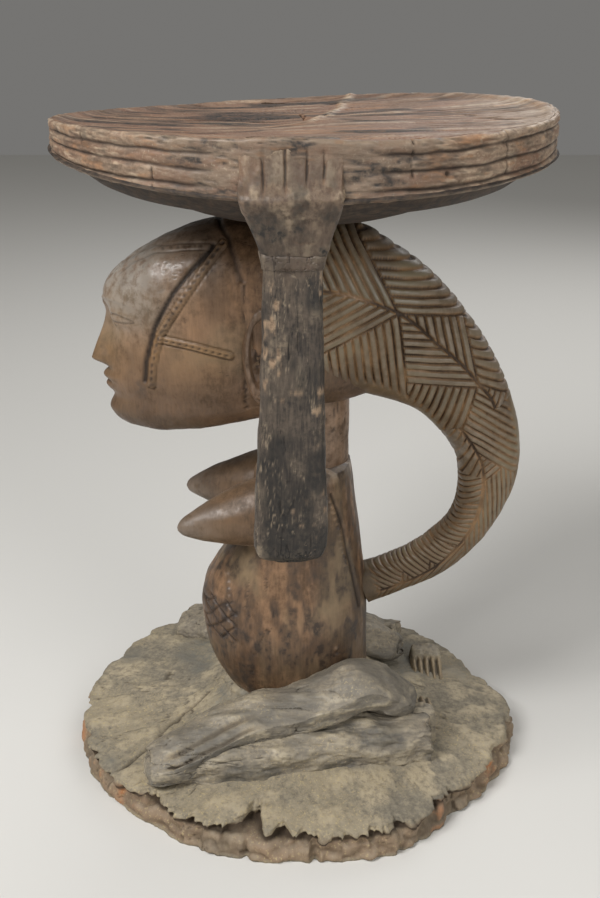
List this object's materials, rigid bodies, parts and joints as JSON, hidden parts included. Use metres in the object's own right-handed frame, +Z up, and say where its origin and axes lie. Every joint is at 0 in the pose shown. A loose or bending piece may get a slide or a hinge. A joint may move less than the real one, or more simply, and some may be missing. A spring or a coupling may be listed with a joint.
{
  "type": "carved wooden stool",
  "caption": "Carved wooden stool: a kneeling figure on a worn round base carries a round seat on head and raised hands, her coiffure swept back in a looped crest.",
  "frame": {"origin": "middle of the whole stool's footprint, on the floor", "axes": "+Z up, -Y the way the figure faces, +X her left"},
  "size_m": [0.291, 0.2895, 0.4069],
  "materials": {
    "seat_wood": "worn and stained, reddish brown",
    "figure_wood": "burnished dark brown",
    "arm_wood": "blackened, worn to brown",
    "leg_wood": "dusty, cracked, grey brown",
    "base_wood": "dusty, eroded, grey brown"
  },
  "bodies": {
    "root": {"base": "base_wood", "coiffure_crest": "figure_wood", "head": "figure_wood", "left_breast": "figure_wood", "left_ear": "figure_wood", "left_foot": "leg_wood", "left_forearm": "arm_wood", "left_hand": "arm_wood", "left_lower_leg": "leg_wood", "left_thigh": "leg_wood", "left_upper_arm": "figure_wood", "neck": "figure_wood", "right_breast": "figure_wood", "right_ear": "figure_wood", "right_foot": "leg_wood", "right_forearm": "arm_wood", "right_hand": "arm_wood", "right_lower_leg": "leg_wood", "right_thigh": "leg_wood", "right_upper_arm": "figure_wood", "seat": "seat_wood", "torso": "figure_wood"}
  },
  "joints": []
}
